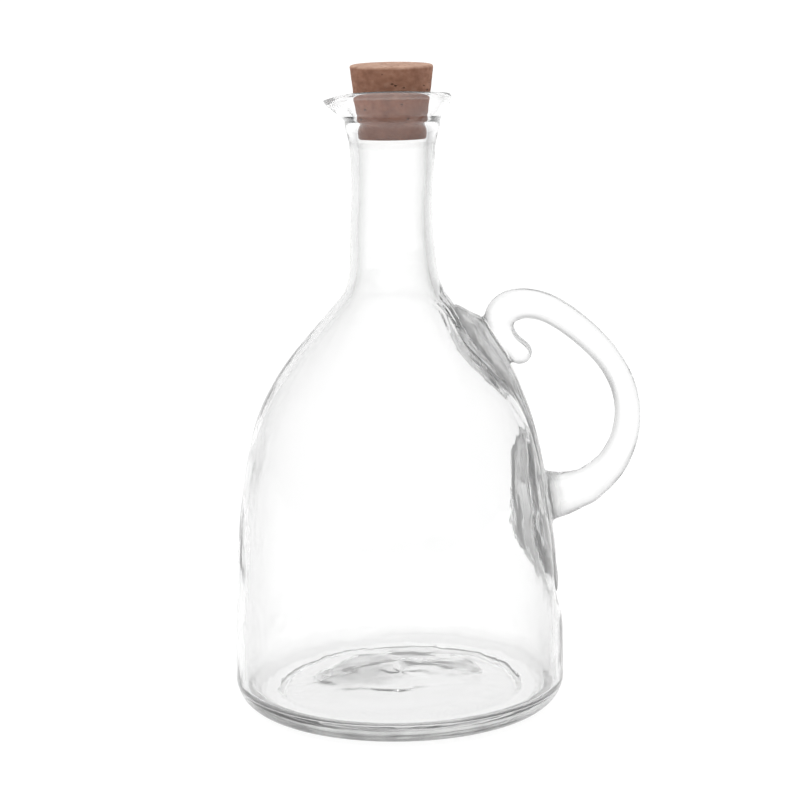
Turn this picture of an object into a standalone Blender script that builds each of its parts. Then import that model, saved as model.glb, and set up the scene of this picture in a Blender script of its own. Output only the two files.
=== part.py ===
"""A hand-blown glass oil cruet with a pulled spout, an applied handle and a tapered cork.

Metres, +Z up. The cruet stands on z = 0 with its spout at -X and its handle at +X. The origin
lies under the middle of the whole piece, so the bottle's own axis stands a little to the -X
side of it.
"""

import math

import bmesh
import bpy
import numpy as np
from mathutils import Matrix

# Body of the bottle
body_radius = 0.0592
heel_radius = 0.0105
shoulder_top = 0.155
body_wall = 0.003
# Shares of the height from heel to shoulder top, and of the step from neck root to body radius
body_shares = (
    (0.0, 1.0),
    (0.27, 0.977),
    (0.48, 0.901),
    (0.65, 0.772),
    (0.78, 0.533),
    (0.885, 0.248),
    (0.955, 0.055),
    (1.0, 0.0),
)

# Base, pushed up in the middle, with shares of the way out from the middle to place its points
foot_width = 0.006
pushup_height = 0.0045
pushup_shares = (1.0, 0.85, 0.6, 0.3, 0.0)
floor_height = 0.0075
floor_dome = 0.002
floor_heel_radius = 0.009
floor_shares = (0.0, 0.35, 0.7, 0.9)

# Neck and its collar ring
neck_length = 0.0502
neck_root_radius = 0.0154
neck_waist_radius = 0.0142
neck_waist_share = 0.54
neck_wall = 0.0026
collar_height = 0.0041
collar_bulge = 0.0015
collar_round = 0.0009

# Cup, lip and spout
cup_height = 0.009
cup_overhang = 0.0012
cup_flare = 0.0029
lip_thickness = 0.0026
spout_pull = 0.0037
spout_dip = 0.0019
spout_half_angle = math.radians(30)
saddle_rise = 0.0006
front_rise = 0.0016
# Shares of the cup's rise and of its flare, down its outside and up its inside
cup_outside_shares = ((0.75, 0.93), (0.42, 0.66), (0.16, 0.28), (0.06, 0.0))
cup_inside_shares = ((0.08, 0.3), (0.22, 0.58), (0.48, 0.82), (0.78, 0.95))

# Cork stopper
cork_height = 0.024
cork_top_radius = 0.0143
cork_bottom_radius = 0.0118
cork_edge = 0.0013
cork_depth = 0.0058
cork_clearance = 0.0003
throat_rise = 0.0022

# Handle, drawn as a rod from its foot on the wall to its curl on the shoulder
rod_radius = 0.0047
handle_foot_height = 0.0745
handle_top_drop = 0.021
handle_bulge = 0.0398
handle_gap = 0.0003
# Shares of the way up from foot to top, of the bulge away from the bottle, and of the rod's radius
handle_shares = (
    (-0.008, -0.186, 2.0),
    (-0.003, -0.057, 1.89),
    (0.008, 0.076, 1.7),
    (0.032, 0.217, 1.5),
    (0.067, 0.363, 1.36),
    (0.187, 0.636, 1.17),
    (0.345, 0.853, 1.05),
    (0.521, 0.997, 0.98),
    (0.694, 1.051, 0.96),
    (0.847, 1.016, 0.97),
    (0.976, 0.918, 1.02),
    (1.087, 0.781, 1.06),
    (1.146, 0.651, 1.1),
    (1.171, 0.496, 1.14),
    (1.15, 0.341, 1.2),
    (1.089, 0.212, 1.26),
    (1.01, 0.141, 1.19),
    (0.938, 0.137, 1.07),
    (0.896, 0.183, 1.02),
    (0.886, 0.229, 0.97),
)

# Seam of fused glass that runs down the wall under the handle's pad, foot and tail
seam_top_drop = 0.0115
tail_length = 0.0355
seam_thickness = 0.0062
seam_half_width = 0.0135
# Shares of the way down the seam, of its thickness and of its half width
seam_shares = (
    (0.0, 0.14, 0.35),
    (0.05, 0.8, 0.8),
    (0.13, 1.0, 1.0),
    (0.22, 0.82, 0.95),
    (0.33, 0.48, 0.66),
    (0.46, 0.36, 0.6),
    (0.6, 0.36, 0.72),
    (0.73, 0.33, 0.78),
    (0.86, 0.38, 0.66),
    (0.95, 0.36, 0.46),
    (1.0, 0.1, 0.18),
)
dent_depth = 0.0042
dent_half_width = 0.014
dent_ramp = 0.024

# Fineness of the meshes
turned_steps = 60
spline_steps = 2
rod_steps = 4
weld_distance = 0.000002

# Heights above the table and radii that follow from the sizes above
collar_bottom = shoulder_top + neck_length
collar_top = collar_bottom + collar_height
lip_height = collar_top + cup_height
cork_bottom = collar_top - cork_depth
throat_top = collar_top + throat_rise
waist_height = shoulder_top + neck_waist_share * neck_length
waist_step = neck_root_radius - neck_waist_radius
neck_top_radius = neck_waist_radius + waist_step * (1 / neck_waist_share - 1) ** 2
collar_radius = neck_top_radius + collar_bulge
cup_foot_radius = collar_radius + cup_overhang
lip_radius = cup_foot_radius + cup_flare
seat_slope = (cork_top_radius - cork_bottom_radius) / cork_height
handle_top_height = shoulder_top - handle_top_drop
seam_top = shoulder_top - seam_top_drop
seam_bottom = handle_foot_height - tail_length


def through(points, steps):
    """Points on a smooth Catmull-Rom curve through the given ones, with so many steps a span."""
    held = np.array([points[0], *points, points[-1]], float)
    t = np.linspace(0, 1, steps, endpoint=False)[:, None]
    spans = []
    for a, b, c, d in zip(held, held[1:], held[2:], held[3:]):
        bend = 2 * a - 5 * b + 4 * c - d
        twist = 3 * b - a - 3 * c + d
        spans.append(b + 0.5 * ((c - a) * t + bend * t**2 + twist * t**3))
    return np.vstack([*spans, held[-1:]])


def arc(centre, radius, start, end, count):
    """Points along a circular arc, from one angle in degrees to another."""
    angle = np.radians(np.linspace(start, end, count))
    return np.column_stack([centre[0] + radius * np.cos(angle), centre[1] + radius * np.sin(angle)])


def neck_radius(height):
    """The neck draws in to its waist and opens again as a shallow parabola."""
    away = (height - waist_height) / (waist_height - shoulder_top)
    return neck_waist_radius + waist_step * away**2


def body_line():
    """(radius, height) up the outside, from the top of the heel to the root of the neck."""
    shares = through(body_shares, spline_steps)
    heights = heel_radius + (shoulder_top - heel_radius) * shares[:, 0]
    radii = neck_root_radius + (body_radius - neck_root_radius) * shares[:, 1]
    return np.column_stack([radii, heights])


def neck_line():
    """(radius, height) up the outside of the neck, between its root and the collar."""
    heights = np.linspace(shoulder_top, collar_bottom, 7)[1:]
    return np.column_stack([neck_radius(heights), heights])


def inside_of(line, wall_below, wall_above):
    """The line moved in along its normals by a wall that changes steadily from end to end."""
    along = np.gradient(line, axis=0)
    along /= np.linalg.norm(along, axis=1)[:, None]
    normal = np.column_stack([along[:, 1], -along[:, 0]])
    wall = np.interp(line[:, 1], (heel_radius, shoulder_top), (wall_below, wall_above))
    return line - normal * wall[:, None]


def outer_outline():
    """(radius, height) from the outside of the lip down to the middle of the pushed-up base."""
    cup_rise = cup_height - lip_thickness / 2
    cup = [
        (cup_foot_radius + cup_flare * flare, collar_top + cup_rise * rise)
        for rise, flare in cup_outside_shares
    ]
    collar_core = collar_radius - collar_round
    crease = (collar_core, collar_top)
    collar = [
        arc((collar_core, collar_top - 2 * collar_round), collar_round, 60, 0, 2),
        arc((collar_core, collar_bottom + collar_round), collar_round, 0, -80, 3),
    ]
    heel = arc((body_radius - heel_radius, heel_radius), heel_radius, 0, -90, 7)[1:]
    foot_inside = body_radius - heel_radius - foot_width
    outward = np.array(pushup_shares)
    dome = np.column_stack(
        [foot_inside * outward, pushup_height * np.cos(0.5 * np.pi * outward) ** 1.5]
    )
    return np.vstack([cup, crease, *collar, neck_line()[::-1], body_line()[::-1], heel, dome])


def inner_outline():
    """(radius, height) from the middle of the floor up the inside to the inner side of the lip."""
    line = inside_of(np.vstack([body_line(), neck_line()]), body_wall, neck_wall)
    heel_centre = floor_height + floor_heel_radius
    above_heel = line[:, 1] > heel_centre + floor_heel_radius / 4
    below_cork = line[:, 1] < cork_bottom - neck_wall
    wall = line[above_heel & below_cork]
    heel = arc((wall[0, 0] - floor_heel_radius, heel_centre), floor_heel_radius, -90, 0, 6)
    outward = np.array(floor_shares)
    dome = np.column_stack(
        [heel[0, 0] * outward, floor_height + floor_dome * np.cos(0.5 * np.pi * outward)]
    )
    seat_bottom = (cork_bottom_radius + cork_clearance, cork_bottom)
    seat_top = (seat_bottom[0] + seat_slope * (throat_top - cork_bottom), throat_top)
    inner_lip = lip_radius - lip_thickness
    cup_step = inner_lip - seat_top[0]
    cup_rise = lip_height - lip_thickness / 2 - throat_top
    cup = [
        (seat_top[0] + cup_step * flare, throat_top + cup_rise * rise)
        for rise, flare in cup_inside_shares
    ]
    return np.vstack([dome, heel, wall, seat_bottom, seat_top, cup])


def lip_line():
    """(radius, height) over the rounded lip, from its inner side to its outer side."""
    half = lip_thickness / 2
    return arc((lip_radius - half, lip_height - half), half, 180, 0, 6)


def dent_at(height, sideways):
    """How far the hot handle pressed the wall in, at a height and at an arc's length from +X."""
    below = np.clip((height - seam_bottom + dent_ramp / 2) / dent_ramp, 0, 1)
    above = np.clip((seam_top + dent_ramp / 4 - height) / dent_ramp, 0, 1)
    window = np.sin(0.5 * np.pi * below) ** 2 * np.sin(0.5 * np.pi * above) ** 2
    return dent_depth * window * np.exp(-((sideways / dent_half_width) ** 2))


def press_seam(points):
    """Moves the points of the wall in where the handle's seam was pressed on."""
    radius = np.hypot(points[:, 0], points[:, 1])
    angle = np.arctan2(points[:, 1], points[:, 0])
    kept = np.maximum(radius, neck_wall)
    scale = 1 - np.where(radius > body_wall, dent_at(points[:, 2], radius * angle), 0) / kept
    points[:, 0] *= scale
    points[:, 1] *= scale


def pull_mouth(points):
    """Pulls the lip's -X side out into a spout, lifts its flanks and tips it up at the front.

    All grow with the height above the collar. The spout's pull falls off with the angle from
    -X as a bell curve, the flanks rise with the square of the sine of the angle, and the front
    at -Y rises with the sine itself.
    """
    up = np.clip((points[:, 2] - collar_top) / (lip_height - collar_top), 0, None)
    angle = np.arctan2(points[:, 1], points[:, 0])
    from_spout = np.pi - np.abs(angle)
    pull = np.exp(-((from_spout / spout_half_angle) ** 2))
    radius = np.hypot(points[:, 0], points[:, 1])
    cup_side = lip_radius - lip_thickness
    outside = np.clip((radius - cork_top_radius) / (cup_side - cork_top_radius), 0, 1)
    stretch = 1 + spout_pull * pull * up * outside / np.maximum(radius, neck_wall)
    points[:, 0] *= stretch
    points[:, 1] *= stretch
    flanks = saddle_rise * np.sin(angle) ** 2 - front_rise * np.sin(angle)
    points[:, 2] += up**2 * (flanks - spout_dip * pull)


def clear_scene():
    for old in list(bpy.data.objects):
        bpy.data.objects.remove(old)


def new_collection(name):
    made = bpy.data.collections.new(name)
    bpy.context.scene.collection.children.link(made)
    return made


def material(name, colour, roughness):
    made = bpy.data.materials.new(name)
    made.use_nodes = True
    shader = made.node_tree.nodes["Principled BSDF"]
    shader.inputs["Base Color"].default_value = (*colour, 1)
    shader.inputs["Roughness"].default_value = roughness
    shader.inputs["Metallic"].default_value = 0
    return made


def clear_glass(name):
    made = material(name, (0.93, 0.95, 0.95), 0.03)
    shader = made.node_tree.nodes["Principled BSDF"]
    shader.inputs["Transmission Weight"].default_value = 1
    shader.inputs["IOR"].default_value = 1.52
    return made


def as_mesh(source, name, into):
    """Makes a new mesh object from what a curve or a modifier gives, and removes the source."""
    bpy.context.view_layer.update()
    evaluated = source.evaluated_get(bpy.context.evaluated_depsgraph_get())
    mesh = bpy.data.meshes.new_from_object(evaluated)
    made = bpy.data.objects.new(name, mesh)
    made.matrix_world = source.matrix_world
    bpy.data.objects.remove(source)
    into.objects.link(made)
    return made


def weld(mesh):
    """Joins points that lie together and turns every face outwards."""
    work = bmesh.new()
    work.from_mesh(mesh)
    bmesh.ops.remove_doubles(work, verts=work.verts, dist=weld_distance)
    bmesh.ops.recalc_face_normals(work, faces=work.faces)
    work.to_mesh(mesh)
    work.free()


def turned(name, outline, into):
    """Turns an outline of (radius, height) points about the Z axis."""
    mesh = bpy.data.meshes.new(name)
    points = [(radius, 0, height) for radius, height in outline]
    edges = [(i, i + 1) for i in range(len(points) - 1)]
    mesh.from_pydata(points, edges, [])
    profile = bpy.data.objects.new(name + "_outline", mesh)
    into.objects.link(profile)
    screw = profile.modifiers.new("turn", "SCREW")
    screw.steps = turned_steps
    screw.render_steps = turned_steps
    screw.use_merge_vertices = True
    screw.merge_threshold = weld_distance
    made = as_mesh(profile, name, into)
    weld(made.data)
    return made


def move_points(mesh, *changes):
    points = np.empty(len(mesh.vertices) * 3)
    mesh.vertices.foreach_get("co", points)
    points = points.reshape(-1, 3)
    for change in changes:
        change(points)
    mesh.vertices.foreach_set("co", points.ravel())
    mesh.update()


def tube(name, points, radii, into):
    """A round tube along points in the XZ plane, with its own radius at each."""
    curve = bpy.data.curves.new(name, "CURVE")
    curve.dimensions = "3D"
    curve.bevel_depth = 1
    curve.bevel_resolution = 6
    curve.use_fill_caps = True
    spline = curve.splines.new("POLY")
    spline.points.add(len(points) - 1)
    for knot, (across, height), radius in zip(spline.points, points, radii):
        knot.co = (across, 0, height, 1)
        knot.radius = radius
    guide = bpy.data.objects.new(name + "_guide", curve)
    into.objects.link(guide)
    made = as_mesh(guide, name, into)
    weld(made.data)
    return made


def make_bottle(parts):
    outline = np.vstack([inner_outline(), lip_line(), outer_outline()])
    bottle = turned("bottle", outline, parts)
    move_points(bottle.data, press_seam, pull_mouth)
    bottle.data.materials.append(clear_glass("bottle_glass"))
    bottle.data.shade_smooth()
    bottle.data.set_sharp_from_angle(angle=math.radians(50))
    return bottle


def make_bottle_form(cutters):
    """The bottle's solid outside, grown by the handle's gap, to cut the handle's seat."""
    outline = outer_outline()
    top = [(0, lip_height)]
    form = turned("bottle_form", np.vstack([top, outline]), cutters)
    move_points(form.data, press_seam)
    grow = form.modifiers.new("handle gap", "DISPLACE")
    grow.strength = handle_gap
    grow.mid_level = 0
    form.hide_render = True
    form.display_type = "WIRE"
    return form


def wall_at(height):
    """The outer radius of the turned body at a height, before the handle was pressed on."""
    line = body_line()
    return np.interp(height, line[:, 1], line[:, 0])


def rod_path():
    """Points and radii along the handle's rod, with a rounded end on its curl."""
    shares = through(handle_shares, rod_steps)
    heights = handle_foot_height + (handle_top_height - handle_foot_height) * shares[:, 0]
    foot, top = wall_at(handle_foot_height), wall_at(handle_top_height)
    chord = foot + (top - foot) * shares[:, 0]
    points = np.column_stack([chord + handle_bulge * shares[:, 1], heights])
    radii = rod_radius * shares[:, 2]
    onward = points[-1] - points[-2]
    onward /= np.linalg.norm(onward)
    turn = np.radians((30, 55, 75))
    tip = points[-1] + np.outer(radii[-1] * np.sin(turn), onward)
    return np.vstack([points, tip]), np.concatenate([radii, radii[-1] * np.cos(turn)])


def make_seam(cutters):
    """The ribbon of glass under the pad, the foot and the tail: a round tube spread sideways."""
    shares = through(seam_shares, rod_steps)
    heights = seam_top + (seam_bottom - seam_top) * shares[:, 0]
    across = wall_at(heights) - dent_at(heights, 0)
    thickness = seam_thickness * shares[:, 1]
    spread = seam_half_width * shares[:, 2] / thickness
    seam = tube("seam", np.column_stack([across, heights]), thickness, cutters)

    def spread_out(points):
        points[:, 1] *= np.interp(points[:, 2], heights[::-1], spread[::-1])

    move_points(seam.data, spread_out)
    seam.hide_render = True
    seam.display_type = "WIRE"
    return seam


def make_handle(parts, cutters, form):
    handle = tube("handle", *rod_path(), parts)
    for operation, other in (("UNION", make_seam(cutters)), ("DIFFERENCE", form)):
        change = handle.modifiers.new(other.name, "BOOLEAN")
        change.operation = operation
        change.object = other
        change.solver = "EXACT"
    handle.data.materials.append(clear_glass("handle_glass"))
    handle.data.shade_smooth()
    return handle


def make_cork(parts):
    mesh = bpy.data.meshes.new("cork_stopper")
    work = bmesh.new()
    bmesh.ops.create_cone(
        work,
        cap_ends=True,
        segments=48,
        radius1=cork_bottom_radius,
        radius2=cork_top_radius,
        depth=cork_height,
        matrix=Matrix.Translation((0, 0, cork_height / 2)),
    )
    work.to_mesh(mesh)
    work.free()
    cork = bpy.data.objects.new("cork_stopper", mesh)
    parts.objects.link(cork)
    cork.location.z = cork_bottom
    bevel = cork.modifiers.new("worn edges", "BEVEL")
    bevel.width = cork_edge
    bevel.segments = 3
    mesh.materials.append(material("cork", (0.42, 0.2, 0.09), 0.85))
    mesh.shade_smooth()
    mesh.set_sharp_from_angle(angle=math.radians(50))
    return cork


def main():
    clear_scene()
    parts = new_collection("oil_cruet")
    cutters = new_collection("cutters")
    bottle = make_bottle(parts)
    form = make_bottle_form(cutters)
    handle = make_handle(parts, cutters, form)
    cork = make_cork(parts)
    points, radii = rod_path()
    reach = (points[:, 0] + radii).max()
    axis = bpy.data.objects.new("bottle_axis", None)
    parts.objects.link(axis)
    axis.location.x = (body_radius - reach) / 2
    for piece in (bottle, handle, cork, *cutters.objects):
        piece.parent = axis


main()
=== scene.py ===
import math

import bmesh
import bpy
import numpy as np
from mathutils import Matrix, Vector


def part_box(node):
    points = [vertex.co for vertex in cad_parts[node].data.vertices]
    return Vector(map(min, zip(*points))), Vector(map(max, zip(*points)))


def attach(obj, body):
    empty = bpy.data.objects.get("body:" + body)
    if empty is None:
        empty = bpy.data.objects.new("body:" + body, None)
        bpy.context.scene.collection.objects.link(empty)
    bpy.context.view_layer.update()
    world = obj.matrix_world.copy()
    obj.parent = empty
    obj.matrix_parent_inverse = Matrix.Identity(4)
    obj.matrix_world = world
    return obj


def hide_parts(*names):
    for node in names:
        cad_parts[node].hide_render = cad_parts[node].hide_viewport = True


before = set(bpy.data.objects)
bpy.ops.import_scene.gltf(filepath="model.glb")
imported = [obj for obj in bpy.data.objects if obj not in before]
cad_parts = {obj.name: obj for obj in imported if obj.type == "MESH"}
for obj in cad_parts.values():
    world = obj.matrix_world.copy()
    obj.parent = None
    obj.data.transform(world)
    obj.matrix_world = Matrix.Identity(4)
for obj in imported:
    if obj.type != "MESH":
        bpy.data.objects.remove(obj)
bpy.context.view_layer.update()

# The bottle. It is one gather of clear soda glass, blown to a tall bell, with the neck drawn out
# of it, the foot pushed up from below and the mouth turned over into a collar and a pulled spout.
# Its wall is a little uneven everywhere, because no mould touched the inside.
mm = 0.001
bottle_low, bottle_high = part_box("bottle")
axis_x = bottle_high.x - (bottle_high.y - bottle_low.y) / 2

# Radius and height in millimetres, down the outside from the lip and in under the foot
cup_rows = (
    (20.67, 216.85), (20.5, 215.6), (19.8, 213.8), (18.75, 212.0), (17.7, 210.6), (17.0, 209.7),
    (16.7, 208.9), (16.62, 208.1), (16.55, 207.2), (16.35, 206.1), (16.1, 205.2), (15.85, 204.4),
)
neck_rows = (
    (15.85, 204.4), (15.45, 202.6), (15.05, 200.0), (14.55, 193.0), (14.2, 182.0), (14.4, 174.0),
    (14.8, 166.0), (15.2, 159.0),
)
body_rows = (
    (15.2, 159.0), (16.0, 153.5), (17.7, 148.7), (21.4, 144.0), (26.4, 138.2), (32.5, 131.2),
    (38.7, 123.4), (44.4, 114.5), (49.2, 104.4), (52.5, 92.9), (54.9, 79.9), (56.9, 65.0),
    (58.2, 49.0), (58.9, 28.0), (59.2, 10.5),
)
heel_centre, heel_radius = (48.7, 10.5), 10.5
ring_rows = ((48.7, 0), (46.0, 0), (43.8, 0))
foot_rows = (
    (43.4, 0.0), (42.8, 0.35), (41.6, 1.15), (39.0, 1.7), (35.0, 2.0), (31.0, 2.3), (25.5, 3.2),
    (17.0, 4.1), (8.0, 4.45), (0.4, 4.5),
)
# The same up the inside, from the middle of the floor to the lip, and half the lip's thickness
floor_rows = ((0.4, 9.5), (12.0, 9.3), (24.0, 8.8), (36.0, 8.1), (46.0, 7.5), (52.6, 7.4))
inner_heel_height, inner_heel_radius = 10.2, 2.8
seat_rows = ((12.1, 203.5), (12.5, 207.0), (13.1, 209.0))
inner_cup_rows = (
    (13.1, 209.0), (14.3, 211.0), (15.9, 213.0), (17.1, 214.9), (17.7, 216.2), (17.77, 216.85),
)
lip_half = 1.45


def smooth_line(rows, gap):
    """Points an even gap apart on a smooth curve through the rows. Between two rows it is a cubic
    whose slope at a row is half of the step from the row before to the row after."""
    rows = np.array(rows, float)
    held = np.vstack([2 * rows[0] - rows[1], rows, 2 * rows[-1] - rows[-2]])
    a, b, c, d = (held[i : len(held) - 3 + i, None] for i in range(4))
    t = np.linspace(0, 1, 40, endpoint=False)[None, :, None]
    bend, twist = 2 * a - 5 * b + 4 * c - d, 3 * b - a - 3 * c + d
    fine = b + 0.5 * ((c - a) * t + bend * t**2 + twist * t**3)
    fine = np.vstack([fine.reshape(-1, rows.shape[1]), rows[-1:]])
    run = np.concatenate([[0], np.cumsum(np.linalg.norm(np.diff(fine[:, :2], axis=0), axis=1))])
    even = np.linspace(0, run[-1], max(2, round(run[-1] / gap) + 1))
    return np.column_stack([np.interp(even, run, column) for column in fine.T])


def round_line(centre, radius, start, end, gap):
    """Points along an arc, from one angle in degrees to another."""
    count = max(2, round(radius * math.radians(abs(end - start)) / gap) + 1)
    angle = np.radians(np.linspace(start, end, count))
    return np.column_stack([centre[0] + radius * np.cos(angle), centre[1] + radius * np.sin(angle)])


def across(line):
    """The unit normals of a line of points, to the right of its way."""
    along = np.gradient(line, axis=0)
    along /= np.linalg.norm(along, axis=1)[:, None]
    return np.column_stack([along[:, 1], -along[:, 0]])


def wall_inside():
    """The inner side of the wall: the outside, from heel to collar, moved in along its normals by
    a wall that thins from 3.2 mm over the heel to 2.6 mm in the neck and thickens below the cork."""
    line = np.vstack([smooth_line(neck_rows, 1.4)[:-1], smooth_line(body_rows, 1.35)])[::-1]
    wall = np.interp(line[:, 1], (16, 60, 120, 155, 190, 201), (3.2, 3.0, 2.9, 2.8, 2.6, 3.2))
    line = line - across(line) * wall[:, None]
    return line[(line[:, 1] > 10.9) & (line[:, 1] < 201.0)]


def bottle_profile():
    """Radius and height all round the section of the glass, in millimetres: from the middle of the
    floor up the inside, over the lip, down the outside and in under the foot. With it comes a
    number for each point's side: 0 floor, 1 inside, 2 mouth, 3 outside, 4 underside."""
    wall = wall_inside()
    inner_heel = (wall[0, 0] - inner_heel_radius, inner_heel_height)
    lip_radius, lip_height = cup_rows[0]
    parts = [
        (0, smooth_line(floor_rows, 1.3)),
        (1, round_line(inner_heel, inner_heel_radius, -86, -2, 0.5)),
        (1, wall),
        (1, smooth_line([tuple(wall[-1]), *seat_rows], 1.3)[1:]),
        (2, smooth_line(inner_cup_rows, 0.5)[1:]),
        (2, round_line((lip_radius - lip_half, lip_height), lip_half, 180, 0, 0.34)[1:-1]),
        (2, smooth_line(cup_rows, 0.42)),
        (3, smooth_line(neck_rows, 1.4)[1:]),
        (3, smooth_line(body_rows, 1.3)[1:]),
        (3, round_line(heel_centre, heel_radius, 0, -90, 0.9)[1:]),
        (4, smooth_line(ring_rows, 2.0)[1:-1]),
        (4, smooth_line(foot_rows, 1.3)),
    ]
    side = np.concatenate([np.full(len(line), kind) for kind, line in parts])
    return np.vstack([line for _, line in parts]), side


def waves(turn, height, rows):
    """A sum of sine waves that run round the bottle and up it. A row is the height of a wave, how
    many times it goes round, how long it is up the wall and where it starts."""
    total = 0
    for size, around, length, start in rows:
        total = total + size * np.sin(around * turn + 2 * np.pi * height / length + start)
    return total


outer_waves = ((0.16, 2, 210, 0.4), (0.09, 3, 120, 2.1), (0.03, 7, 90, 4.0), (0.01, 13, 60, 1.1))
inner_waves = ((0.3, 1, 210, 1.0), (0.15, 3, 150, 5.2), (0.06, 5, 110, 3.3), (0.02, 9, 70, 0.7))
floor_waves = ((0.12, 2, 37, 0.3), (0.06, 5, 19, 1.0))


def eased(share):
    """A share from 0 to 1 that starts and ends gently: the squared sine of a quarter turn."""
    return np.sin(np.pi / 2 * np.clip(share, 0, 1)) ** 2


def wide_share(radius):
    """How far out of the narrow neck a place is, as a share. The wide wall is the more uneven."""
    return np.clip((radius - 12) / 30, 0, 1)


press_depth, press_half = 4.2, 14.0


def pressed_in(turn, height, radius):
    """How far the hot handle pressed the wall in: a bell across the seam, that fades out with a
    squared sine below its tail and above its pad."""
    window = eased((height - 27) / 24) * eased((149.5 - height) / 24)
    return press_depth * window * np.exp(-((radius * turn / press_half) ** 2))


# Height, depth and half width of the bulge on the inside, where the soft wall gave way to the
# hot foot with its tail, and to the pad above it
bulge_rows = (
    (33.0, 0.0, 9.0), (40.0, 3.0, 10.0), (48.0, 5.5, 12.0), (55.0, 10.0, 14.0), (64.0, 13.0, 15.0),
    (74.0, 12.3, 15.0), (82.0, 11.0, 15.0), (89.0, 9.4, 14.0), (95.0, 6.8, 13.0), (100.0, 3.6, 11.0),
    (104.5, 1.8, 9.0), (109.0, 1.1, 9.0), (112.0, 2.0, 10.0), (115.0, 5.0, 12.0), (119.5, 6.9, 13.0),
    (126.0, 8.0, 13.0), (132.0, 6.5, 12.0), (137.0, 3.2, 10.0), (143.0, 1.0, 8.0), (149.0, 0.0, 8.0),
)


def bulged(turn, height, radius):
    """How far the inside bulges in: the table's depth at this height, as a bell across the seam.
    The table is smoothed with its depths ten times as large, to be finest where they change most."""
    rows = smooth_line(np.array(bulge_rows) * (1, 10, 1), 1.0)
    depth = np.interp(height, rows[:, 0], rows[:, 1] / 10, left=0, right=0)
    half = np.interp(height, rows[:, 0], rows[:, 2])
    return depth * np.exp(-((radius * turn / half) ** 2))


def dragged(turn, height, radius):
    """Ridges along the seam, where stiffening glass was dragged down the wall: waves 3 to 6 mm
    apart across the seam, closer where it is narrow, that wander slowly on their way down it."""
    spread = np.interp(height, (38, 48, 65, 85, 97, 112, 130, 142), (5, 8, 11, 10, 8.5, 11, 13, 7)) / 10
    aside = radius * turn
    wander = 1.2 * np.sin(height / 11.0) + 0.7 * np.sin(height / 6.1 + 1)
    broad = 0.5 * np.sin(2 * np.pi * (aside / spread + wander) / 5.3)
    narrow = 0.3 * np.sin(2 * np.pi * (aside / spread - wander) / 3.1 + 2)
    ridges = (broad + narrow) * eased((height - 36) / 16) * eased((150 - height) / 16)
    return ridges * np.exp(-((aside / 15) ** 2))


def punty_mark(x, y):
    """The rough patch that the iron left under the foot. Its broken rim is a bell across the edge
    of a wavy oval, steepest at the left, round a hollow, a flat-topped bell. At its left are a few
    folds, two crossed sines under a bell of their own."""
    far = np.hypot(x / 29, (y - 5.5) / 18)
    turn = np.arctan2(y - 5.5, x)
    edge = 1 + 0.06 * np.sin(3 * turn + 1) + 0.04 * np.sin(7 * turn) + 0.02 * np.sin(13 * turn + 2)
    steep = (0.5 - 0.35 * np.cos(turn) - 0.3 * np.sin(turn)).clip(0)
    rim = np.exp(-(((far - edge) / 0.14) ** 2)) * steep
    left = np.exp(-(((x + 17) / 10) ** 2) - ((y - 8) / 9) ** 2)
    folds = np.sin(x / 1.9 + 1.5 * np.sin(y / 5)) * np.sin(y / 3.1 + 1)
    return 0.28 * rim - 0.25 * np.exp(-((far / 0.7) ** 4)) + left * (0.17 + 0.09 * folds)


def thick_place(turn, height):
    """A thicker place in the wall under the spout: a bell round a point 84 mm up."""
    return 1.3 * np.exp(-((59 * (np.pi - np.abs(turn)) / 13) ** 2) - ((height - 84) / 11) ** 2)


def outside_radius(turn, height):
    """The radius of the finished outside at a place on the wall, in millimetres: the profile's at
    that height, with the outer waves, less what the handle pressed in."""
    line = np.vstack([smooth_line(neck_rows, 1.4)[:-1], smooth_line(body_rows, 1.3)])[::-1]
    radius = np.interp(height, line[:, 1], line[:, 0])
    uneven = waves(turn, height, outer_waves) * wide_share(radius)
    return radius + uneven - pressed_in(turn, height, radius)


# The mouth is pulled from this height up, over this rise, and out from the cork to the cup's side
mouth_root, mouth_rise = 209.3, 9.0
cork_side, cup_side = 14.3, 18.07
spout_pull, spout_dip, spout_half = 3.7, 1.9, math.radians(30)
flank_rise, front_rise = 0.6, 1.7


def spout_share(turn):
    """How much of the spout's pull a place takes: a bell round the side away from the handle."""
    return np.exp(-(((np.pi - np.abs(turn)) / spout_half) ** 2))


def rim_lift(turn):
    """How far the rim stands above its mean height: up at the flanks by the squared sine of the
    turn and at the front by the sine, and down at the spout."""
    return flank_rise * np.sin(turn) ** 2 - front_rise * np.sin(turn) - spout_dip * spout_share(turn)


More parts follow.
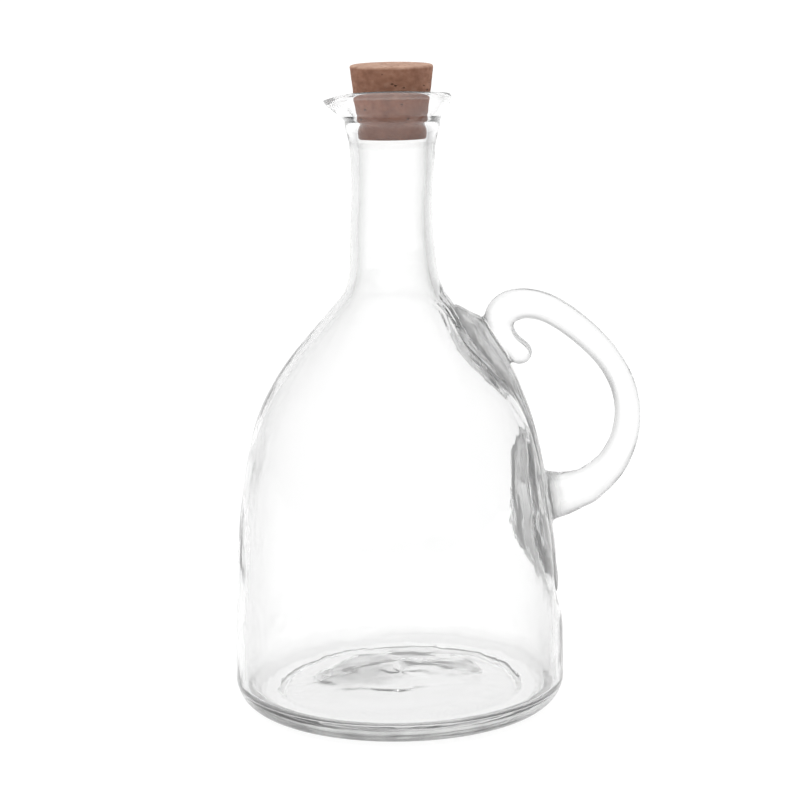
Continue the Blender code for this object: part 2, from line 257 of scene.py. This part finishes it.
def bottle_surface(around):
    """Rings of points of the bottle, closest together by the handle. The profile is carried round
    the axis, each side moved along its own normal, and then the mouth is pulled: out at the
    spout, up at its flanks and at the front, all growing with height."""
    line, side = bottle_profile()
    normal = across(line)
    even = np.linspace(-np.pi, np.pi, around, endpoint=False)
    turn = (even - 0.6 * np.sin(even))[None, :]
    radius, height = line[:, :1], line[:, 1:]
    kind = side[:, None]
    x, y = radius * np.cos(turn), radius * np.sin(turn)

    floor = 0.3 * punty_mark(x - 2, y + 1) + waves(turn, radius, floor_waves)
    low, high = np.clip((height - 12) / 20, 0, 1), np.clip((200 - height) / 12, 0, 1)
    inside = waves(turn, height, inner_waves) * (0.25 + 0.75 * wide_share(radius)) * low * high
    inside = inside + 0.5 * dragged(turn, height, radius) + thick_place(turn, height)
    standing = np.clip(height / 8, 0, 1)
    outside = waves(turn, height, outer_waves) * wide_share(radius) * standing
    lift = np.choose(kind, (floor, inside, 0, outside, -punty_mark(x, y)))
    dent = np.choose(kind, (0, bulged(turn, height, radius), 0, pressed_in(turn, height, radius), 0))

    # A step across the back of the floor, high on one side and low on the other, that fades out
    past_step = turn - 1.72
    step = np.tanh(past_step / 0.09) * np.exp(-(past_step**2))
    step = step * ((kind < 2) * np.clip((13 - height) / 4, 0, 1)) * np.clip((radius - 26) / 18, 0, 1)
    new_radius = radius + normal[:, :1] * lift - dent
    new_height = height + normal[:, 1:] * lift - step

    up = np.where(kind == 2, np.clip((height - mouth_root) / mouth_rise, 0, None), 0)
    outward = np.clip((radius - cork_side) / (cup_side - cork_side), 0, 1)
    new_radius = new_radius + spout_pull * spout_share(turn) * up * outward
    new_height = new_height + up**2 * rim_lift(turn)
    drift = -0.8 * np.exp(-(((height - 172) / 16) ** 2))
    return np.stack([new_radius * np.cos(turn) + drift, new_radius * np.sin(turn), new_height], axis=2)


def closed_skin(rings):
    """Points and faces of a closed skin, in metres in the frame, from rings of points round the
    bottle's axis in millimetres: four-sided faces from ring to ring, then the three-sided ones to
    a pole in the middle of either end ring."""
    rows, count = rings.shape[:2]
    poles = np.stack([rings[0].mean(0), rings[-1].mean(0)])
    points = np.vstack([rings.reshape(-1, 3), poles]) * mm + (axis_x, 0, 0)
    i, j = np.arange(rows - 1)[:, None] * count, np.arange(count)[None, :]
    after = (j + 1) % count
    sides = np.stack([i + j, i + count + j, i + count + after, i + after], axis=2).reshape(-1, 4)
    j, after = j.ravel(), after.ravel()
    first, last, end = rows * count, rows * count + 1, (rows - 1) * count
    start_cap = np.column_stack([np.full(count, first), j, after])
    end_cap = np.column_stack([end + j, np.full(count, last), end + after])
    return points, sides.tolist() + start_cap.tolist() + end_cap.tolist()


def new_piece(name, points, faces):
    """A new object in the scene, with a mesh of these points and faces."""
    mesh = bpy.data.meshes.new(name)
    mesh.from_pydata(points.tolist(), [], faces)
    piece = bpy.data.objects.new(name, mesh)
    bpy.context.scene.collection.objects.link(piece)
    return piece


def feed(tree, node, inputs):
    """Gives each input of a shader node its own value, or joins it to another node's output."""
    for name, value in inputs.items():
        if isinstance(value, bpy.types.NodeSocket):
            tree.links.new(value, node.inputs[name])
        else:
            node.inputs[name].default_value = value


def add_node(tree, kind, inputs=None, **settings):
    """A new shader node with its settings and inputs."""
    node = tree.nodes.new("ShaderNode" + kind)
    for name, value in settings.items():
        setattr(node, name, value)
    feed(tree, node, inputs or {})
    return node


def calculated(tree, operation, *values):
    """The result of one step of arithmetic on the values."""
    return add_node(tree, "Math", dict(enumerate(values)), operation=operation).outputs["Value"]


def ranged(tree, value, start, end, low=0.0, high=1.0):
    """A number that goes evenly from low to high as the value goes from start to end."""
    limits = {"From Min": start, "From Max": end, "To Min": low, "To Max": high}
    return add_node(tree, "MapRange", {"Value": value, **limits}).outputs["Result"]


def mixed(tree, share, ground, colour, blend="MIX"):
    """The ground's colour with another laid on it, or multiplied into it, as far as a share says."""
    inputs = {"Factor": share, "A": ground, "B": colour}
    return add_node(tree, "Mix", inputs, data_type="RGBA", blend_type=blend).outputs["Result"]


def toned(tree, share, *stops):
    """A colour that changes with a share. A stop is a share and its colour, or its grey alone."""
    node = add_node(tree, "ValToRGB", {"Fac": share})
    elements = node.color_ramp.elements
    for number, (at, colour) in enumerate(stops):
        element = elements[number] if number < 2 else elements.new(at)
        element.position = at
        element.color = (*np.broadcast_to(colour, 3), 1)
    return node.outputs["Color"]


def new_material(name):
    """A new material, with its tree of nodes and its main shader."""
    made = bpy.data.materials.new(name)
    made.use_nodes = True
    return made, made.node_tree, made.node_tree.nodes["Principled BSDF"]


def blown_glass(name, wave_size, clear, edge_shade_greys):
    """Clear soda glass. Its colour falls off to grey towards the edge of each wall, by the facing
    angle: partly as glass seen the long way does, and partly as painted shade, the dark edges that a
    wall seen edge-on takes from the room. Two soft bumps carry the unevenness of blowing and the
    drawn cords. The rest of the light, past the clear share, is scattered by the faint haze on worked glass."""
    made, tree, glass = new_material(name)
    place = add_node(tree, "TexCoord").outputs["Object"]
    facing = add_node(tree, "LayerWeight", {"Blend": 0.5}).outputs["Facing"]
    stretch = add_node(tree, "Mapping", {"Vector": place, "Scale": (170, 170, 22)}).outputs["Vector"]
    slow = add_node(tree, "TexNoise", {"Vector": place, "Scale": 60, "Detail": 2}).outputs["Fac"]
    cords = add_node(tree, "TexNoise", {"Vector": stretch, "Scale": 1, "Detail": 3}).outputs["Fac"]
    blown = {"Strength": wave_size, "Distance": 0.6 * mm, "Height": slow}
    bump = add_node(tree, "Bump", blown).outputs["Normal"]
    corded = {"Strength": wave_size, "Distance": 0.15 * mm, "Height": cords, "Normal": bump}
    bump = add_node(tree, "Bump", corded).outputs["Normal"]
    # The edge greys are partly the glass seen the long way and partly painted shade.
    edge = toned(tree, facing, (0.12, (0.995, 0.996, 0.995)), *zip((0.28, 0.45, 0.6, 1.0), edge_shade_greys))
    feed(tree, glass, {"Base Color": edge, "Metallic": 0, "Roughness": 0.0, "IOR": 1.52})
    feed(tree, glass, {"Transmission Weight": clear, "Normal": bump})
    return made


def tint(glass, share, colour):
    """Multiplies the colour that the glass has by another, as far as a share says."""
    tree = glass.node_tree
    shader = tree.nodes["Principled BSDF"]
    clear = shader.inputs["Base Color"].links[0].from_socket
    feed(tree, shader, {"Base Color": mixed(tree, share, clear, colour, "MULTIPLY")})


def haze(glass, value, start, end, hazy):
    """Scatters more light, down to the hazy share of clear, as a value goes from start to end."""
    tree = glass.node_tree
    shader = tree.nodes["Principled BSDF"]
    clear = shader.inputs["Transmission Weight"].default_value
    feed(tree, shader, {"Transmission Weight": ranged(tree, value, start, end, clear, hazy)})


def darkened_base_oval(glass):
    """Darkens the glass of the base in an oval a little turned, by the iron's mark, on the floor and
    under it, with a ragged edge from a noise that shifts its place."""
    tree = glass.node_tree
    place = add_node(tree, "TexCoord").outputs["Object"]
    ragged = add_node(tree, "TexNoise", {"Vector": place, "Scale": 260, "Detail": 3}).outputs["Color"]
    shift = add_node(
        tree, "VectorMath", {0: ragged, 1: (12 * mm, 12 * mm, 0), 2: place}, operation="MULTIPLY_ADD"
    )
    oval = {
        "Location": (axis_x - 8.5 * mm, 7 * mm, 0),
        "Rotation": (0, 0, math.radians(-6)),
        "Scale": (15.5 * mm, 10.5 * mm, 0.1),
    }
    oval_place = add_node(tree, "Mapping", {"Vector": shift.outputs["Vector"], **oval}, vector_type="TEXTURE")
    off_oval = add_node(tree, "VectorMath", {0: oval_place.outputs["Vector"]}, operation="LENGTH")
    tint(glass, ranged(tree, off_oval.outputs["Value"], 1.25, 0.55), (0.56, 0.56, 0.56, 1))
    return glass


def shaded_and_dulled_heel(glass):
    """Greys and dulls the thick rounded heel: from nothing at 9.5 mm up to all of it at 4.5 mm, in
    blotches, and most on the front. The grey is painted shade, the dark of the shadow under the base
    as the thick heel shows it; the dulling is a roughness over the same share."""
    tree = glass.node_tree
    place = add_node(tree, "TexCoord").outputs["Object"]
    parts = add_node(tree, "SeparateXYZ", {"Vector": place}).outputs
    low = ranged(tree, parts["Z"], 9.5 * mm, 4.5 * mm)
    front = ranged(tree, parts["Y"], 30 * mm, -30 * mm, 0.05)
    share = calculated(tree, "MULTIPLY", low, front)
    blotched = add_node(tree, "TexNoise", {"Vector": place, "Scale": 70}).outputs["Fac"]
    # Painted shade: the heel's blotched grey, most on the front.
    tint(glass, share, toned(tree, blotched, (0.35, 0.16), (0.6, (0.42, 0.43, 0.42))))
    rubbed = calculated(tree, "MULTIPLY", share, 0.14)
    feed(tree, tree.nodes["Principled BSDF"], {"Roughness": rubbed})
    return glass


def drawn_grey(glass):
    """Greys the drawn neck towards the edges of its wall, from nothing at 135 mm up to all of it at
    158 mm: a share of height multiplied by a ramp over the facing angle. The grey is partly the wall
    seen the long way and partly painted shade, for the dark bands down the neck's edges."""
    tree = glass.node_tree
    place = add_node(tree, "TexCoord").outputs["Object"]
    parts = add_node(tree, "SeparateXYZ", {"Vector": place}).outputs
    facing = add_node(tree, "LayerWeight", {"Blend": 0.5}).outputs["Facing"]
    # Painted shade, in part: the neck's wall greys towards its edges.
    neck_edge_shade = toned(tree, facing, (0.2, 1), (0.6, (0.84, 0.85, 0.84)))
    tint(glass, ranged(tree, parts["Z"], 135 * mm, 158 * mm), neck_edge_shade)
    return glass


def hazy_edge(glass, hazy):
    """Hazes the glass more the more it is seen along its surface."""
    facing = add_node(glass.node_tree, "LayerWeight", {"Blend": 0.5}).outputs["Facing"]
    haze(glass, facing, 0.45, 0.8, hazy)
    return glass


bottle_form = new_piece("bottle_form", *closed_skin(bottle_surface(176)))

# The handle. A second gather of the same glass, drawn out hot as a rod. Its foot was pressed on
# the wall first, with a tail dragged down below it. Then the rod was looped up and over and its
# end curled down in a drop beside the pad that joins it to the shoulder.

# Across from the axis, height and radius along the rod, from inside its foot to the drop
rod_rows = (
    (50.9, 74.0, 10.9), (52.6, 74.2, 9.9), (54.6, 74.5, 8.9), (58.4, 75.0, 8.05), (63.4, 76.4, 7.05),
    (68.3, 78.5, 6.4), (76.1, 85.6, 5.5), (80.7, 95.0, 4.94), (82.0, 105.5, 4.61), (79.7, 115.8, 4.51),
    (74.4, 124.9, 4.56), (67.2, 132.6, 4.79), (58.9, 139.2, 4.98), (52.2, 142.7, 5.17),
    (45.7, 143.9, 5.4), (40.3, 142.8, 5.7), (37.2, 139.8, 5.65), (36.9, 136.2, 5.0),
    (38.2, 132.9, 4.5), (40.4, 129.9, 4.2), (42.6, 127.7, 4.35), (43.9, 126.6, 4.4),
)
# Height, thickness and half width down the seam of glass that was pressed on the wall
seam_rows = (
    (143.5, 0.8, 4.7), (138.6, 3.9, 10.0), (136.0, 5.9, 11.0), (132.0, 5.8, 13.0), (126.0, 5.2, 13.3),
    (120.5, 4.7, 12.8), (109.0, 2.9, 8.9), (95.4, 2.3, 8.1), (80.8, 2.3, 9.7), (67.2, 2.1, 10.5),
    (53.6, 2.4, 8.9), (44.2, 2.2, 6.2), (39.2, 0.6, 2.4),
)


def rod_surface(around):
    """A round tube carried along the rod's line in the plane of the handle. At the drop its radius
    closes as a half circle does."""
    rows = smooth_line(rod_rows, 0.7)
    line, radius = rows[:, :2], rows[:, 2]
    onward = line[-1] - line[-2]
    onward /= np.linalg.norm(onward)
    cap = np.radians(np.linspace(12, 84, 7))[:, None]
    line = np.vstack([line, line[-1] + radius[-1] * np.sin(cap) * onward])
    radius = np.concatenate([radius, radius[-1] * np.cos(cap[:, 0])])[:, None]
    normal = across(line)
    ring = np.linspace(0, 2 * np.pi, around, endpoint=False)[None, :]
    out, aside = radius * np.cos(ring), radius * np.sin(ring)
    return np.stack([line[:, :1] + normal[:, :1] * out, aside, line[:, 1:] + normal[:, 1:] * out], axis=2)


def seam_surface(around):
    """A flat tube laid down the pressed wall. Across the wall it bends with the bottle's own curve:
    its half width is an arc's length, and its thickness stands off the wall."""
    height, thick, half = smooth_line(seam_rows, 0.7).T[:, :, None]
    centre = np.column_stack([outside_radius(0.0, height[:, 0]), height[:, 0]])
    normal = -across(centre)
    ring = np.linspace(0, 2 * np.pi, around, endpoint=False)[None, :]
    out, aside = thick * np.cos(ring), half * np.sin(ring)
    wall = centre[:, :1]
    turn = aside / np.maximum(wall, 24)
    undone = pressed_in(0.0, height, wall) - pressed_in(turn, height, wall)
    radius = wall + normal[:, :1] * out + undone
    return np.stack([radius * np.cos(turn), radius * np.sin(turn), height + normal[:, 1:] * out], axis=2)


def read_all(items, name, width=3, kind=np.float32):
    """One property of all of a mesh's points or faces, as an array with a row for each."""
    values = np.empty(len(items) * width, kind)
    items.foreach_get(name, values)
    return values.reshape(-1, width)


def round_axis(points):
    """Turn, height and radius round the bottle's axis, in millimetres, of points in the frame."""
    x, y, height = (points / mm - (axis_x / mm, 0, 0)).T
    return np.arctan2(y, x), height, np.hypot(x, y)


def with_modifiers(piece):
    """A new mesh: what the piece's modifiers make of it. They then come off the piece."""
    graph = bpy.context.evaluated_depsgraph_get()
    mesh = bpy.data.meshes.new_from_object(piece.evaluated_get(graph))
    piece.modifiers.clear()
    return mesh


rod_points, rod_faces = closed_skin(rod_surface(44))
seam_points, seam_faces = closed_skin(seam_surface(48))
moved_on = [[corner + len(rod_points) for corner in face] for face in seam_faces]
handle_form = new_piece("handle_form", np.vstack([rod_points, seam_points]), rod_faces + moved_on)
melt = handle_form.modifiers.new("melt together", "REMESH")
melt.mode = "VOXEL"
melt.voxel_size = 0.5 * mm
settle = handle_form.modifiers.new("settle", "SMOOTH")
settle.factor = 0.5
settle.iterations = 20
handle_form.data = with_modifiers(handle_form)

# The seam's outer side is dragged into ridges, and its buried side is laid 1.8 mm into the wall,
# so that the two gathers share a skin that lies inside neither
turn, height, radius = round_axis(read_all(handle_form.data.vertices, "co").astype(float))
wall = outside_radius(turn, height)
near = np.exp(-((np.clip(radius - wall, 0, None) / 6) ** 2))
radius = np.maximum(radius + 0.35 * near * dragged(turn, height, wall), wall - 1.8)
points = np.column_stack([radius * np.cos(turn), radius * np.sin(turn), height]) * mm + (axis_x, 0, 0)
handle_form.data.vertices.foreach_set("co", points.astype(np.float32).ravel())
handle_form.data.update()


def cut_with(piece, other, operation):
    """A new mesh: this piece joined with the other, or with the other taken away."""
    change = piece.modifiers.new(operation.lower(), "BOOLEAN")
    change.operation, change.object, change.solver = operation, other, "MANIFOLD"
    return with_modifiers(piece)


def triangles_of(mesh, owner):
    """Points and triangles of the faces with this material number."""
    mesh.calc_loop_triangles()
    corners = read_all(mesh.loop_triangles, "vertices", kind=np.int32)
    slots = read_all(mesh.loop_triangles, "material_index", 1, np.int32).ravel()
    return read_all(mesh.vertices, "co").astype(float), corners[slots == owner]


def fused_skin(name):
    """Where the two gathers are one glass, light goes straight through."""
    made, tree, shader = new_material(name)
    tree.nodes.remove(shader)
    clear = add_node(tree, "BsdfTransparent").outputs["BSDF"]
    feed(tree, tree.nodes["Material Output"], {"Surface": clear})
    return made


def glass_piece(name, shells, glass, skin):
    """One closed piece from two open shells that share an outline. The first has the glass
    material, and the second the fused skin."""
    points, faces, slots, start = [], [], [], 0
    for number, (shell_points, triangles) in enumerate(shells):
        used, triangles = np.unique(triangles, return_inverse=True)
        triangles = triangles.reshape(-1, 3)
        points.append(shell_points[used])
        faces.append(triangles + start)
        slots.append(np.full(len(triangles), number))
        start += len(used)
    piece = new_piece(name, np.vstack(points), np.vstack(faces).tolist())
    piece.data.materials.append(glass)
    piece.data.materials.append(skin)
    piece.data.polygons.foreach_set("material_index", np.concatenate(slots).astype(np.int32))
    work = bmesh.new()
    work.from_mesh(piece.data)
    bmesh.ops.remove_doubles(work, verts=work.verts, dist=0.001 * mm)
    work.to_mesh(piece.data)
    work.free()
    piece.data.shade_smooth()
    piece.data.set_sharp_from_angle(angle=math.radians(60))
    return piece


# The faces of each form carry its number, so that the joined glass tells which was whose
for form, owner in ((bottle_form, 0), (handle_form, 1)):
    form.data.materials.append(None)
    form.data.materials.append(None)
    form.data.polygons.foreach_set("material_index", np.full(len(form.data.polygons), owner, np.int32))
whole = cut_with(bottle_form, handle_form, "UNION")
outer_handle = cut_with(handle_form, bottle_form, "DIFFERENCE")
seat_points, seat_faces = triangles_of(outer_handle, 0)
bottle = glass_piece(
    "bottle_glass",
    [triangles_of(whole, 0), (seat_points, seat_faces[:, ::-1])],
    drawn_grey(blown_glass("blown bottle glass", 0.35, 0.975, (0.985, 0.91, 0.83, 0.8))),
    fused_skin("fused skin of the bottle"),
)
handle = glass_piece(
    "handle_glass",
    [triangles_of(outer_handle, 1), (seat_points, seat_faces)],
    blown_glass("drawn handle glass", 0.35, 0.965, (0.85, 0.74, 0.69, 0.66)),
    fused_skin("fused skin of the handle"),
)
bpy.data.objects.remove(bottle_form)
bpy.data.objects.remove(handle_form)


def refinish(glass, chosen):
    """Gives another finish of the glass to faces of the bottle that still have its first one. A
    rule chooses them, by turn, height and radius of their middles."""
    mesh = bottle.data
    slots = read_all(mesh.polygons, "material_index", 1, np.int32).ravel()
    mesh.materials.append(glass)
    slots[(slots == 0) & chosen(*round_axis(read_all(mesh.polygons, "center")))] = len(mesh.materials) - 1
    mesh.polygons.foreach_set("material_index", slots)


# From the spout down to the base, each rule takes only what those before it left
refinish(
    blown_glass("pulled spout glass", 0.0, 0.76, (0.98, 0.95, 0.93, 0.9)),
    lambda turn, height, radius: (height > 212.5) & (radius > 19.8) & (np.abs(turn) > 2.5),
)
refinish(
    blown_glass("rolled rim glass", 0.0, 0.94, (0.97, 0.92, 0.89, 0.86)),
    lambda turn, height, radius: (height > 215.6 + rim_lift(turn)) & (radius > 16.5),
)
refinish(
    hazy_edge(blown_glass("hazy turn above the collar", 0.0, 0.97, (0.98, 0.95, 0.93, 0.91)), 0.5),
    lambda turn, height, radius: (height > 207.8) & (height < 210.8) & (radius > 15.2),
)
refinish(
    blown_glass("fire-polished mouth glass", 0.0, 1.0, (0.99, 0.97, 0.95, 0.92)),
    lambda turn, height, radius: height > 202.5,
)
refinish(
    shaded_and_dulled_heel(blown_glass("scuffed heel glass with painted shade", 0.35, 0.9, (0.985, 0.95, 0.92, 0.87))),
    lambda turn, height, radius: (height < 10)
    & (radius > 49.6 + 0.6 * np.sin(3 * turn + 1) + 0.4 * np.sin(7 * turn))
    & (radius > 57.2 - 2.5 * np.clip(4.6 - height, 0, 3)),
)
refinish(
    darkened_base_oval(blown_glass("pushed-up base glass", 0.35, 0.94, (0.985, 0.95, 0.89, 0.82))),
    lambda turn, height, radius: height < 12.5,
)


def worked(piece, hazy, share_at):
    """Hazes and streaks the first glass of a piece by how much it was worked, a share that a rule
    of turn, height and radius notes for each point of the mesh. The streaks are a noise drawn out
    seven times as long down the wall as across it."""
    share = np.clip(share_at(*round_axis(read_all(piece.data.vertices, "co").astype(float))), 0, 1)
    noted = piece.data.attributes.new("worked", "FLOAT", "POINT")
    noted.data.foreach_set("value", share.astype(np.float32))
    glass = piece.data.materials[0]
    tree = glass.node_tree
    share = add_node(tree, "Attribute", attribute_name="worked").outputs["Fac"]
    place = add_node(tree, "TexCoord").outputs["Object"]
    drawn_out = {"Rotation": (0, math.radians(-18), 0), "Scale": (300, 300, 42)}
    stretch = add_node(tree, "Mapping", {"Vector": place, **drawn_out}).outputs["Vector"]
    streaks = add_node(tree, "TexNoise", {"Vector": stretch, "Scale": 1, "Detail": 3}).outputs["Fac"]
    haze(glass, share, 0, 1, hazy)
    tint(glass, share, toned(tree, streaks, (0.42, 0.84), (0.56, 1)))


# How clear the most worked glass still is
hazy = 0.62
worked(bottle, hazy, lambda turn, height, radius: (bulged(turn, height, radius) - 0.5) / 4.5 * (radius > 20))
worked(handle, hazy, lambda turn, height, radius: (outside_radius(turn, height) + 8 - radius) / 5)
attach(bottle, "glass")
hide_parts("bottle")
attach(handle, "glass")
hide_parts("handle")

# The stopper. A tapered plug punched from cork bark and sanded, so its side shows dark pores and
# its edges are rubbed round. It is wedged in the throat by its taper alone.
cork_low, cork_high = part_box("cork_stopper")

# The radius of its rubbed edges in millimetres, and the waves of its grain
cork_edge = 0.75
grain_waves = ((0.02, 5, 9.0, 0.3), (0.02, -9, 5.2, 2.0), (0.02, 17, 3.1, 4.4), (0.015, -29, 2.3, 1.7))


def cork_surface(around):
    """The stopper's rings of points: a tapered side between two flat ends with rounded edges,
    turned about the axis, and moved in a little where short waves of different lengths meet."""
    low_radius, low = 11.8, cork_low.z / mm
    top_radius, top = 14.55, cork_high.z / mm + 0.7
    low_edge, top_edge = low_radius - cork_edge, top_radius - cork_edge
    side = [(low_radius, low + cork_edge), (13.17, (low + top) / 2), (top_radius, top - cork_edge)]
    line = np.vstack(
        [
            smooth_line([(0.3, low), (5.0, low), (low_edge, low)], 0.6)[:-1],
            round_line((low_edge, low + cork_edge), cork_edge, -90, 0, 0.35)[:-1],
            smooth_line(side, 0.45)[:-1],
            round_line((top_edge, top - cork_edge), cork_edge, 0, 90, 0.35)[:-1],
            smooth_line([(top_edge, top), (5.0, top), (0.3, top)], 0.6),
        ]
    )
    turn = np.linspace(0, 2 * np.pi, around, endpoint=False)[None, :]
    radius, height = line[:, :1], line[:, 1:]
    out = radius - (0.07 + waves(turn, height, grain_waves)) * np.clip(radius / 8, 0, 1)
    return np.stack([out * np.cos(turn), out * np.sin(turn), height + 0 * turn], axis=2)


def cork_bark(name):
    """Cork: warm brown with paler and redder grains, dark slit-like pores that run across the
    plug, a dry dull surface and pits that catch the light. Its top end is painted paler, a painted
    light and sheen from above, and the part that the throat grips is redder."""
    made, tree, bark = new_material(name)
    place = add_node(tree, "TexCoord").outputs["Object"]
    rise = add_node(tree, "SeparateXYZ", {"Vector": place}).outputs["Z"]
    short = add_node(tree, "Mapping", {"Vector": place, "Scale": (1, 1, 1.3)}).outputs["Vector"]
    flat = add_node(tree, "Mapping", {"Vector": place, "Scale": (1, 1, 2.2)}).outputs["Vector"]
    grains = add_node(tree, "TexNoise", {"Vector": short, "Scale": 420, "Detail": 5}).outputs["Fac"]
    patches = add_node(tree, "TexNoise", {"Vector": place, "Scale": 110, "Detail": 2}).outputs["Fac"]
    cells = add_node(tree, "TexVoronoi", {"Vector": flat, "Scale": 300}).outputs["Distance"]
    brown, middle, pale = (0.2, 0.095, 0.06), (0.25, 0.125, 0.082), (0.3, 0.165, 0.115)
    colour = toned(tree, grains, (0.3, brown), (0.5, middle), (0.75, pale))
    patched = toned(tree, patches, (0.35, (0.9, 0.85, 0.83)), (0.65, (1.08, 1.05, 1.02)))
    colour = mixed(tree, 1, colour, patched, "MULTIPLY")
    pores = toned(tree, cells, (0.1, 1), (0.2, 0))
    pores = calculated(tree, "MULTIPLY", pores, calculated(tree, "GREATER_THAN", patches, 0.56))
    colour = mixed(tree, pores, colour, (0.06, 0.025, 0.012, 1))
    # Painted light: the top end is made paler, as light and sheen from above would make it.
    painted_light_top = ranged(tree, rise, 227.3 * mm, 227.9 * mm)
    colour = mixed(tree, painted_light_top, colour, (1.45, 1.8, 2.0, 1), "MULTIPLY")
    gripped = ranged(tree, rise, 218.5 * mm, 216.5 * mm)
    colour = mixed(tree, gripped, colour, (1.1, 0.9, 0.82, 1), "MULTIPLY")
    grainy = {"Strength": 0.6, "Distance": 0.3 * mm, "Height": grains}
    bump = add_node(tree, "Bump", grainy).outputs["Normal"]
    pitted = {"Strength": 0.8, "Distance": 0.5 * mm, "Height": pores, "Normal": bump}
    pits = add_node(tree, "Bump", pitted, invert=True).outputs["Normal"]
    feed(tree, bark, {"Base Color": colour, "Roughness": 0.8, "Specular IOR Level": 0.25, "Normal": pits})
    return made


cork_points, cork_faces = closed_skin(cork_surface(150))
stopper = new_piece("cork_plug", cork_points, [face[::-1] for face in cork_faces])
stopper.data.materials.append(cork_bark("sanded cork bark"))
stopper.data.shade_smooth()
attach(stopper, "stopper")
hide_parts("cork_stopper")

# The studio: a wide white floor that glows as a light sheet, a white room that turns grey
# overhead, and one large soft lamp above, as for glass photographed against a bright ground.
def darker_sides(tree, way):
    """What the glass sees of the room: white straight behind it, and falling off to the grey of
    the studio's sides, more to the right. It is 1 for whatever isn't seen through glass."""
    sideways = add_node(tree, "SeparateXYZ", {"Vector": way}).outputs["X"]
    fall = toned(tree, ranged(tree, sideways, -1, 1), (0.02, 0.62), (0.27, 1), (0.66, 1), (0.96, 0.45))
    through = add_node(tree, "LightPath").outputs["Is Transmission Ray"]
    return add_node(tree, "Mix", {"Factor": through, "A": 1, "B": fall}).outputs["Result"]


corners = 6.0 * np.array([(-1, -1, 0), (1, -1, 0), (1, 1, 0), (-1, 1, 0)])
floor = new_piece("studio_floor", corners, [(0, 1, 2, 3)])
paper, tree, paper_shader = new_material("glowing white paper")
place = add_node(tree, "TexCoord").outputs["Object"]
far = add_node(tree, "VectorMath", {0: place}, operation="LENGTH").outputs["Value"]
near_by = calculated(tree, "ADD", far, 0.15)
way = add_node(tree, "VectorMath", {0: place, 1: near_by}, operation="DIVIDE").outputs["Vector"]
# Seen through glass, the floor's glow is painted darker towards the sides: painted shade for the grey sides
# of the studio.
glow_with_side_shade = calculated(tree, "MULTIPLY", 0.93, darker_sides(tree, way))
feed(tree, paper_shader, {"Base Color": (0.14, 0.14, 0.14, 1), "Roughness": 0.9, "Specular IOR Level": 0.0})
feed(tree, paper_shader, {"Emission Color": (1, 1, 1, 1), "Emission Strength": glow_with_side_shade})
floor.data.materials.append(paper)

room = bpy.data.worlds.new("white room")
bpy.context.scene.world = room
room.use_nodes = True
tree = room.node_tree
direction = add_node(tree, "TexCoord").outputs["Generated"]
split = add_node(tree, "SeparateXYZ", {"Vector": direction}).outputs
path = add_node(tree, "LightPath").outputs
overhead = toned(tree, split["Z"], (0.35, 1), (0.62, 0.72))
bright_back = ranged(tree, split["Y"], -0.4, 0.3, 0.12, 0.95)
bright_top = ranged(tree, split["Z"], 0.5, 0.85, 0.0, 1.4)
mirrored = calculated(tree, "MAXIMUM", bright_back, bright_top)
light = mixed(tree, path["Is Reflection Ray"], overhead, mirrored)
dim_front = ranged(tree, split["Y"], -0.9, 0.1, 0.5, 1.55)
light = mixed(tree, path["Is Diffuse Ray"], light, dim_front)
light = mixed(tree, 1, light, darker_sides(tree, direction), "MULTIPLY")
feed(tree, tree.nodes["Background"], {"Color": light, "Strength": 1.06})

softbox = bpy.data.lights.new("softbox", "AREA")
softbox.shape = "RECTANGLE"
softbox.size, softbox.size_y = 1.2, 1.2
softbox.energy = 6
lamp = bpy.data.objects.new("softbox", softbox)
lamp.location = (-0.5, -0.3, 1.5)
lamp.visible_glossy = False
lamp.visible_transmission = False
bpy.context.scene.collection.objects.link(lamp)
# The lamp points at the lower part of the bottle, 0.1 m up
aim_x, aim_y, aim_down = 0.5, 0.3, 1.4
tip = math.atan2(math.hypot(aim_x, aim_y), aim_down)
lamp.rotation_euler = (tip, 0, math.atan2(aim_y, aim_x) - math.pi / 2)

# The camera stands where the photograph was taken from, 0.94 m in front of the bottle's axis and
# 0.3 m up, looking 11.25 degrees down, with the slight roll of the picture.
# The lens is given in pixels of the 800 pixel frame, as it was fitted on the photograph
lens_pixels, frame_pixels, sensor = 2715, 800, 36
pitch, roll, yaw = math.radians(11.25), math.radians(0.8), math.atan(3.9 / lens_pixels)
camera_data = bpy.data.cameras.new("camera")
camera_data.sensor_width = sensor
camera_data.lens = sensor * lens_pixels / frame_pixels
camera_data.clip_end = 100
camera = bpy.data.objects.new("camera", camera_data)
bpy.context.scene.collection.objects.link(camera)
ahead = np.array([math.sin(yaw) * math.cos(pitch), math.cos(yaw) * math.cos(pitch), -math.sin(pitch)])
level = np.cross(ahead, (0, 0, 1))
level /= np.linalg.norm(level)
upward = np.cross(level, ahead)
turned = np.eye(4)
turned[:3, 0] = math.cos(roll) * level - math.sin(roll) * upward
turned[:3, 1] = math.sin(roll) * level + math.cos(roll) * upward
turned[:3, 2] = -ahead
turned[:3, 3] = (axis_x, -0.9438, 0.2976)
camera.matrix_world = Matrix(turned.tolist())
scene = bpy.context.scene
scene.camera = camera
scene.view_settings.view_transform = "Standard"
scene.cycles.max_bounces = 24
scene.cycles.transmission_bounces = 24
scene.cycles.transparent_max_bounces = 24
